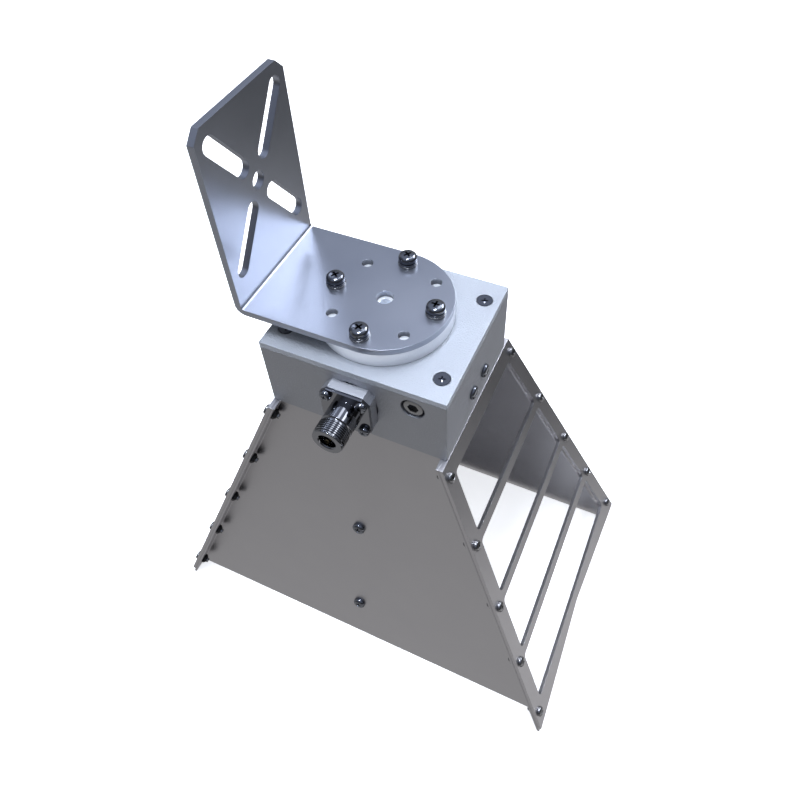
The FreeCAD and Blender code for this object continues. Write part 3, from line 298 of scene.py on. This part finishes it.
def select_where(piece, kind, test):
    """Select the piece's faces, edges or corners that pass the test, and stay in edit mode."""
    pick(piece)
    bpy.ops.object.mode_set(mode="EDIT")
    bpy.ops.mesh.select_mode(type=kind)
    bpy.ops.mesh.select_all(action="DESELECT")
    bpy.ops.object.mode_set(mode="OBJECT")
    mesh = piece.data
    for item in {"FACE": mesh.polygons, "EDGE": mesh.edges, "VERT": mesh.vertices}[kind]:
        item.select = test(item)
    bpy.ops.object.mode_set(mode="EDIT")


def top_face(face):
    """True for a face that looks up."""
    return face.normal.z > 0.99


def bottom_face(face):
    """True for a face that looks down."""
    return face.normal.z < -0.99


def grow(rise, factor):
    """Extrude the selected faces along Z and change their size across it."""
    bpy.ops.mesh.extrude_region_move(TRANSFORM_OT_translate={"value": (0, 0, rise)})
    bpy.ops.transform.resize(value=(factor, factor, 1), center_override=(0, 0, 0))


def end_editing():
    """Back from edit mode, with what was edited in the mesh."""
    bpy.ops.object.mode_set(mode="OBJECT")


def cut_out(piece, tool):
    """Take the tool's shape out of the piece and delete the tool."""
    modify(piece, "BOOLEAN", operation="DIFFERENCE", solver="EXACT", object=tool)
    bpy.data.objects.remove(tool, do_unlink=True)


def cross_punch(reach, width, top, depth, point=0.0):
    """Punch of a cross recess: two blades that narrow towards their ends, which may be pointed."""
    blades = []
    for along, across in ((2 * reach, width), (width, 2 * reach)):
        blade = primitive("cube", size=1, location=(0, 0, top), scale=(along, across, 2 * depth))
        select_where(blade, "FACE", bottom_face)
        bpy.ops.transform.resize(value=(0.45, 0.45, 1), center_override=(0, 0, 0))
        if point:
            grow(-point, 0.1)
        end_editing()
        blades.append(blade)
    modify(blades[0], "BOOLEAN", operation="UNION", solver="EXACT", object=blades[1])
    bpy.data.objects.remove(blades[1], do_unlink=True)
    return blades[0]


# Fasteners: each pattern has its seat on z = 0 and points down, in the sizes read from the CAD

def pan_head(sizes):
    """Pan head screw with a cross recess."""
    rim, rise, shank = sizes["rim"], sizes["rise"], sizes["shank"]
    tip = SCREW_TIP * shank
    piece = round_bar(shank, -sizes["length"] + tip, 0)
    select_where(piece, "FACE", bottom_face)
    grow(-tip, 0.75)
    select_where(piece, "FACE", top_face)
    grow(0, PAN_SEAT * rim / shank)
    grow(0.1 * rise, 1 / PAN_SEAT)
    grow(0.25 * rise, 1.0)
    radius, height = 1.0, 0.0
    for turn in (18, 36, 54, 72, 90):
        angle = math.radians(turn)
        wide = PAN_DOME + (1 - PAN_DOME) * math.cos(angle)
        grow(0.5 * rise * (math.sin(angle) - height), wide / radius)
        radius, height = wide, math.sin(angle)
    for wide, high in PAN_TOP:
        grow(high * rise, wide / radius)
        radius = wide
    end_editing()
    cut_out(piece, cross_punch(0.62 * rim, 0.3 * rim, 0.92 * rise, 0.7 * rise))
    return piece


def sunk_head(sizes):
    """Countersunk screw with a cross recess; its face lies a little below the surface."""
    rim, shank = sizes["rim"] - 0.25 * MM, sizes["shank"]
    edge, face = 0.1 * MM, sizes["rise"] - 0.2 * MM
    piece = round_bar(shank, -sizes["length"], face - edge - (rim - shank))
    select_where(piece, "FACE", top_face)
    grow(rim - shank, rim / shank)
    grow(edge, 1.0)
    end_editing()
    cut_out(piece, cross_punch(0.62 * rim, 0.28 * rim, face, 0.5 * rim, 0.1 * rim))
    return piece


def socket_head(sizes):
    """Socket head cap screw: straight head with broken edges and a hexagon."""
    rim, rise, shank = sizes["rim"], sizes["rise"], sizes["shank"]
    corner, edge = rim - 0.25 * MM, rim - 0.65 * MM  # radii of the head's broken upper edge
    piece = round_bar(shank, -sizes["length"], 0)
    select_where(piece, "FACE", top_face)
    grow(0, rim / shank)
    grow(rise - 0.5 * MM, 1.0)
    grow(0.35 * MM, corner / rim)
    grow(0.15 * MM, edge / corner)
    end_editing()
    hexagon = round_bar(0.57 * rim, rise / 2, rise * 1.5, corners=6)
    select_where(hexagon, "FACE", bottom_face)
    grow(-0.3 * MM, 0.5)
    end_editing()
    cut_out(piece, hexagon)
    return piece


def nut(sizes):
    """Hexagon nut on the screw's end, with a wide chamfer round its free end."""
    piece = round_bar(sizes["rim"], -sizes["length"], sizes["rise"], corners=6)
    turning = round_bar(0.97 * sizes["rim"], -sizes["length"], sizes["rise"], corners=48)
    select_where(turning, "FACE", bottom_face)
    bpy.ops.mesh.bevel(offset=0.4 * sizes["rim"], segments=1, affect="EDGES")
    end_editing()
    modify(piece, "BOOLEAN", operation="INTERSECT", solver="EXACT", object=turning)
    bpy.data.objects.remove(turning, do_unlink=True)
    cut_out(piece, round_bar(sizes["bore"], -2 * sizes["rim"], 2 * sizes["rim"]))
    return piece


def coil(radius, width, height, lift, turns, steps):
    """Bar of a square section wound round Z from z = 0 up; the ends are closed."""
    section_corners = 4
    piece = primitive("circle", vertices=section_corners, radius=0.5, location=(0, 0, 0),
                      rotation=(math.radians(90), 0, 0))
    select_where(piece, "VERT", lambda corner: True)
    bpy.ops.transform.rotate(value=math.radians(45), orient_axis="Y", center_override=(0, 0, 0))
    bpy.ops.transform.resize(value=(math.sqrt(2), 1, math.sqrt(2)), center_override=(0, 0, 0))
    bpy.ops.transform.resize(value=(width, 1, height), center_override=(0, 0, 0))
    bpy.ops.transform.translate(value=(radius, 0, 0))
    end_editing()
    whole = max(int(turns), 1)
    modify(piece, "SCREW", axis="Z", angle=2 * math.pi * turns / whole,
           screw_offset=lift * turns / whole, iterations=whole, steps=steps,
           render_steps=steps, use_merge_vertices=False)
    select_where(piece, "EDGE", lambda edge: True)
    bpy.ops.mesh.fill_holes(sides=section_corners)
    bpy.ops.mesh.select_all(action="SELECT")
    bpy.ops.mesh.normals_make_consistent(inside=False)
    end_editing()
    return piece


def separate_solids(cad_node):
    """Corner points of each solid of a CAD node, in a fixed order."""
    piece = merged_copy(cad_node)
    bpy.ops.object.mode_set(mode="EDIT")
    bpy.ops.mesh.separate(type="LOOSE")
    end_editing()
    parts = list(bpy.context.selected_objects)
    solids = [np.array([tuple(corner.co) for corner in part.data.vertices]) for part in parts]
    for part in parts:
        bpy.data.objects.remove(part, do_unlink=True)
    return sorted(solids, key=lambda corners: tuple(np.round(corners.mean(axis=0), 5)))


def measure(corners):
    """Place of a turned solid, +Z out of the part and its seat on z = 0, and its sizes.

    +Y goes to a corner, where a hexagonal bar of Blender has one too.
    """
    middle = corners.mean(axis=0)
    values, ways = np.linalg.eigh(np.cov((corners - middle).T))
    lone = 0 if values[1] - values[0] > values[2] - values[1] else 2
    axis = ways[:, lone]
    if axis @ (middle - INNER_POINT) < 0:
        axis = -axis
    along = (corners - middle) @ axis
    outwards = corners - middle - np.outer(along, axis)
    away = np.linalg.norm(outwards, axis=1)
    rim = away.max()
    seat = along[away > RIM_SHARE * rim].min()
    low = along.min()
    below = along < low + SHANK_SHARE * (along.max() - low)
    sizes = {"rim": rim, "rise": along.max() - seat, "length": seat - low,
             "shank": away[below].max(), "bore": away.min()}
    z_way = Vector(axis)
    y_way = Vector(outwards[np.argmax(np.round(away, 6))]).normalized()
    turn = Matrix((y_way.cross(z_way), y_way, z_way)).transposed().to_4x4()
    return Matrix.Translation(Vector(middle + axis * seat)) @ turn, sizes


def fasteners(cad_node, make, name, material, turn_step=0.0):
    """Fasteners of one kind: modelled once and copied to every solid of the CAD node."""
    measured = [measure(corners) for corners in separate_solids(cad_node)]
    pattern = make(measured[0][1])
    made = []
    for index, (place, _) in enumerate(measured):
        copy = bpy.data.objects.new(name, pattern.data.copy())
        bpy.context.scene.collection.objects.link(copy)
        copy.data.transform(place @ Matrix.Rotation(math.radians(turn_step * index), 4, "Z"))
        made.append(copy)
    bpy.data.objects.remove(pattern, do_unlink=True)
    return finish_piece(join(made), name, material, cad_node)


# Structural pieces

broken_edges("cavity_box", MACHINED, 0.5)
broken_edges("cover_plate", COVER, 0.5)
broken_edges("mount_disc", TURNED_PAINTED_LIGHT, 0.3)
broken_edges("bracket", BRACKET, 0.12)
for side in ("front", "back"):
    broken_edges(side + "_flare_plate", SHEET, 0.35)
    broken_edges(side + "_ridge", MACHINED, 0.2)
for side in ("left", "right"):
    broken_edges(side + "_grille", SHEET, 0.08)
broken_edges("adapter_block", MACHINED, 0.2)

# Fasteners

fasteners("cover_screws", sunk_head, "cover_screw_heads", DARK_NICKEL, 33)
fasteners("ridge_wall_screws", sunk_head, "wall_screw_heads", DARK_NICKEL, 33)
fasteners("box_side_screws", pan_head, "side_screw_heads", DARK_NICKEL, 50)
fasteners("ridge_screws", pan_head, "ridge_screw_heads", DARK_NICKEL, 50)
fasteners("connector_screws", pan_head, "jack_screw_heads", DARK_NICKEL, 25)
fasteners("bracket_screws", pan_head, "bracket_screw_heads", DARK_NICKEL, 25)
fasteners("socket_cap_screw", socket_head, "socket_screw_head", STEEL)
for side in ("left", "right"):
    fasteners(side + "_grille_screws", pan_head, side + "_grille_heads", STEEL,
              40)
    fasteners(side + "_grille_nuts", nut, side + "_nuts", BLACK_STEEL)
broken_edges("flat_washers", STEEL, 0.3)


def spring_washers():
    """Split spring washers: a square bar of one turn, still sprung open a little.

    Each lies on the top of its flat washer.
    """
    made = []
    for index, corners in enumerate(separate_solids("flat_washers")):
        low = corners[:, 2].max()
        washer = coil(SPRING_MIDDLE, SPRING_WIDTH, SPRING_BAR, SPRING_RISE, SPRING_TURN, 40)
        modify(washer, "BEVEL", width=0.2 * MM, segments=2, limit_method="ANGLE",
               angle_limit=math.radians(40), use_clamp_overlap=False)
        turn = Matrix.Rotation(math.radians(25 + 70 * index), 4, "Z")
        middle = corners.mean(axis=0)
        base = Vector((middle[0], middle[1], low + SPRING_BAR / 2))
        washer.data.transform(Matrix.Translation(base) @ turn)
        made.append(washer)
    finish_piece(join(made), "split_washers", DARK_NICKEL, "spring_washers")


spring_washers()


# Coaxial jack: a thread wound round the front of its barrel

def jack():
    """Flange and barrel of the jack with its thread turned into the front part."""
    piece = merged_copy("connector_body")
    low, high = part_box("connector_body")
    axis_z = (low[2] + high[2]) / 2
    rim_y = low[1]
    select_where(piece, "VERT", lambda corner: corner.co.y < rim_y + THREAD_LENGTH + JACK_NOSE
                 and corner.co.y > rim_y + 0.1 * MM
                 and abs(math.hypot(corner.co.x, corner.co.z - axis_z) - JACK_RADIUS) < 0.05 * MM)
    core = THREAD_CORE / JACK_RADIUS
    bpy.ops.transform.resize(value=(core, 1, core), center_override=(0, rim_y, axis_z))
    end_editing()
    modify(piece, "BEVEL", width=0.12 * MM, segments=2, limit_method="ANGLE",
           angle_limit=math.radians(30), use_clamp_overlap=True)
    turns = int((THREAD_LENGTH - THREAD_PITCH) / THREAD_PITCH)
    tooth = JACK_RADIUS - THREAD_CORE
    thread = coil(THREAD_CORE + 0.45 * tooth, 1.1 * tooth, 0.55 * THREAD_PITCH, THREAD_PITCH,
                  turns, 48)
    thread.data.transform(Matrix.Translation((0, rim_y + JACK_NOSE + THREAD_PITCH / 2, axis_z))
                          @ Matrix.Rotation(math.radians(-90), 4, "X"))
    finish_piece(join([piece, thread]), "jack_body", NICKEL, "connector_body")
    modify(piece, "WEIGHTED_NORMAL", keep_sharp=True, weight=100)


jack()
for cad_node, material in (("connector_insulator", PTFE), ("connector_contact", GOLD)):
    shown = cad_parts[cad_node]
    shown.data.materials.clear()
    shown.data.materials.append(material)


# Floor, light and camera

def flat_board(name, size, height, material_name, colour, glow=0.0):
    """Matt board that lies flat: part of the stage, not of the object."""
    bpy.ops.mesh.primitive_plane_add(size=1, location=(0, 0, height))
    board = bpy.context.object
    board.name = name
    board.scale = (*size, 1)
    material, tree = new_material(material_name)
    shader = node(tree, "ShaderNodeBsdfPrincipled",
                  {"Base Color": linear(colour), "Roughness": 0.9,
                   "Emission Color": linear("F6F8FB"), "Emission Strength": glow})
    node(tree, "ShaderNodeOutputMaterial", links={"Surface": shader.outputs["BSDF"]})
    board.data.materials.append(material)
    return board


def floors():
    """White floor that glows a little, so that the shade inside the horn stays pale, and a greyer
    board in the mouth that only the metal inside mirrors: its grey is painted shade.
    """
    floor = flat_board("floor", (30, 30), 0, "matt white board", "F6F6F6", glow=0.7)
    floor.visible_glossy = False
    # Painted shade: a grey board that only reflections see darkens what the metal inside the mouth
    # mirrors
    board = flat_board("painted_shade_in_mouth", (240 * MM, 136 * MM), 0.1 * MM,
                       "grey board, painted shade in the horn's mouth", "B0B0B2")
    board.visible_camera = False
    board.visible_diffuse = False
    board.visible_shadow = False


# What the metal mirrors on each side of the room: height, -1 to 1, and brightness
FRONT_LEVELS = [(-1.0, 0.44), (-0.75, 0.40), (-0.5, 0.30), (-0.2, 0.12), (0.1, 0.10),
                (0.4, 0.12), (0.7, 0.34), (1.0, 0.5)]
REAR_LEVELS = [(-1.0, 0.36), (-0.75, 0.24), (-0.5, 0.16), (-0.2, 0.12), (0.1, 0.12),
               (0.4, 0.2), (0.7, 0.44), (1.0, 0.5)]
# On the right, one low bright band between dark walls
RIGHT_LEVELS = [(-1.0, 0.02), (-0.72, 0.05), (-0.6, 0.6), (-0.5, 1.15), (-0.42, 0.4),
                (-0.33, 0.08), (-0.2, 0.04), (0.1, 0.07), (0.5, 0.2), (1.0, 0.5)]


def sky_stops(levels):
    """Ramp stops from heights, -1 to 1, and brightness: cool above the horizon."""
    stops = []
    for height, light in levels:
        cool = max(0.0, min(1.0, 2 * height))
        colour = (light * (1 - 0.1 * cool), light, light * (1.02 + 0.25 * cool), 1)
        stops.append(((height + 1) / 2, colour))
    return stops


def room():
    """Dim studio round the object: pale to the camera, and what the metal mirrors."""
    world = bpy.data.worlds.new("studio")
    world.use_nodes = True
    bpy.context.scene.world = world
    tree = world.node_tree
    tree.nodes.clear()
    way = node(tree, "ShaderNodeTexCoord").outputs["Generated"]
    parts = node(tree, "ShaderNodeSeparateXYZ", links={"Vector": way})
    height = node(tree, "ShaderNodeMapRange", {"From Min": -1.0, "From Max": 1.0},
                  {"Value": parts.outputs["Z"]})
    front_side = node(tree, "ShaderNodeValToRGB", links={"Fac": height.outputs["Result"]},
                      stops=sky_stops(FRONT_LEVELS))
    rear_side = node(tree, "ShaderNodeValToRGB", links={"Fac": height.outputs["Result"]},
                     stops=sky_stops(REAR_LEVELS))
    back = node(tree, "ShaderNodeMapRange", {"From Min": -0.2, "From Max": 0.2},
                {"Value": parts.outputs["Y"]}, interpolation_type="SMOOTHSTEP")
    left_side = node(tree, "ShaderNodeMix", links={"Factor": back.outputs["Result"],
                                                   6: front_side.outputs["Color"],
                                                   7: rear_side.outputs["Color"]},
                     data_type="RGBA")
    lean = node(tree, "ShaderNodeMath", {0: 0.3}, {1: parts.outputs["Y"]}, operation="MULTIPLY")
    leaning = node(tree, "ShaderNodeMath", links={0: lean.outputs[0], 1: parts.outputs["Z"]},
                   operation="ADD")
    slant = node(tree, "ShaderNodeMapRange", {"From Min": -1.0, "From Max": 1.0},
                 {"Value": leaning.outputs[0]})
    right_side = node(tree, "ShaderNodeValToRGB", links={"Fac": slant.outputs["Result"]},
                      stops=sky_stops(RIGHT_LEVELS))
    far_left = node(tree, "ShaderNodeMapRange", {"From Min": -0.62, "From Max": -0.9},
                    {"Value": parts.outputs["X"]}, interpolation_type="SMOOTHSTEP")
    across = node(tree, "ShaderNodeMapRange", {"From Min": 0.15, "From Max": 0.6},
                  {"Value": parts.outputs["X"]}, interpolation_type="SMOOTHSTEP")
    both = node(tree, "ShaderNodeMix", links={"Factor": across.outputs["Result"],
                                              6: left_side.outputs[2],
                                              7: right_side.outputs["Color"]}, data_type="RGBA")
    far_back = node(tree, "ShaderNodeMapRange", {"From Min": 0.68, "From Max": 0.92},
                    {"Value": parts.outputs["Y"]}, interpolation_type="SMOOTHSTEP")
    far = node(tree, "ShaderNodeMath", links={0: far_left.outputs["Result"],
                                              1: far_back.outputs["Result"]}, operation="MAXIMUM")
    walled = node(tree, "ShaderNodeMix", {7: linear("A4A6AA")},
                  {"Factor": far.outputs[0], 6: both.outputs[2]}, data_type="RGBA")
    seen = node(tree, "ShaderNodeLightPath").outputs["Is Camera Ray"]
    shown = node(tree, "ShaderNodeMix", {7: linear("F6F7F9")},
                 {"Factor": seen, 6: walled.outputs[2]}, data_type="RGBA")
    sky = node(tree, "ShaderNodeBackground", {"Strength": 1.0}, {"Color": shown.outputs[2]})
    node(tree, "ShaderNodeOutputWorld", links={"Surface": sky.outputs["Background"]})


def softbox(name, towards, size, light, colour, distance=1.6):
    """Flat light of a given brightness, seen from the object in the given direction."""
    data = bpy.data.lights.new(name, "AREA")
    data.shape = "RECTANGLE"
    data.size, data.size_y = size
    data.energy = light * math.pi * size[0] * size[1]
    data.color = linear(colour)[:3]
    lamp = bpy.data.objects.new(name, data)
    bpy.context.scene.collection.objects.link(lamp)
    middle = Vector((0, 0, 0.2))
    direction = Vector(towards).normalized()
    lamp.matrix_world = Matrix.Translation(middle + direction * distance) @ \
        direction.to_track_quat("Z", "Y").to_matrix().to_4x4()
    return lamp


def camera():
    """Camera at the photograph's place: solved from the edges of the box, flare and bracket."""
    eye = (0.12224, -0.21648, 0.48554)
    azimuth, elevation, roll = 27.98, 48.36, -3.98
    data = bpy.data.cameras.new("camera")
    data.lens = 33.42
    data.sensor_width = 36.0
    data.shift_x = -0.0023
    data.shift_y = -0.0693
    view = bpy.data.objects.new("camera", data)
    bpy.context.scene.collection.objects.link(view)
    turn = (Matrix.Rotation(math.radians(azimuth), 4, "Z")
            @ Matrix.Rotation(math.radians(90 - elevation), 4, "X")
            @ Matrix.Rotation(math.radians(roll), 4, "Z"))
    view.matrix_world = Matrix.Translation(eye) @ turn
    bpy.context.scene.camera = view


bpy.context.scene.view_settings.view_transform = "Standard"
floors()
room()
softbox("overhead softbox", (-0.08, 0.0, 1.0), (0.7, 0.14), 58.0, "EAF2FF")
softbox("rear softbox", (0.05, 0.50, 0.86), (0.4, 0.7), 2.3, "EEF4FF")
softbox("strip light", (0.61, 0.50, 0.62), (0.16, 1.1), 4.0, "F2F6FF")
softbox("low rear light", (0.30, 0.66, 0.69), (0.8, 0.45), 8.5, "EEF4FF")
floor_light = softbox("floor light", (0, 0, 1), (7.0, 7.0), 1.3, "FFFFFF", distance=3.5)
floor_light.visible_glossy = False
camera()
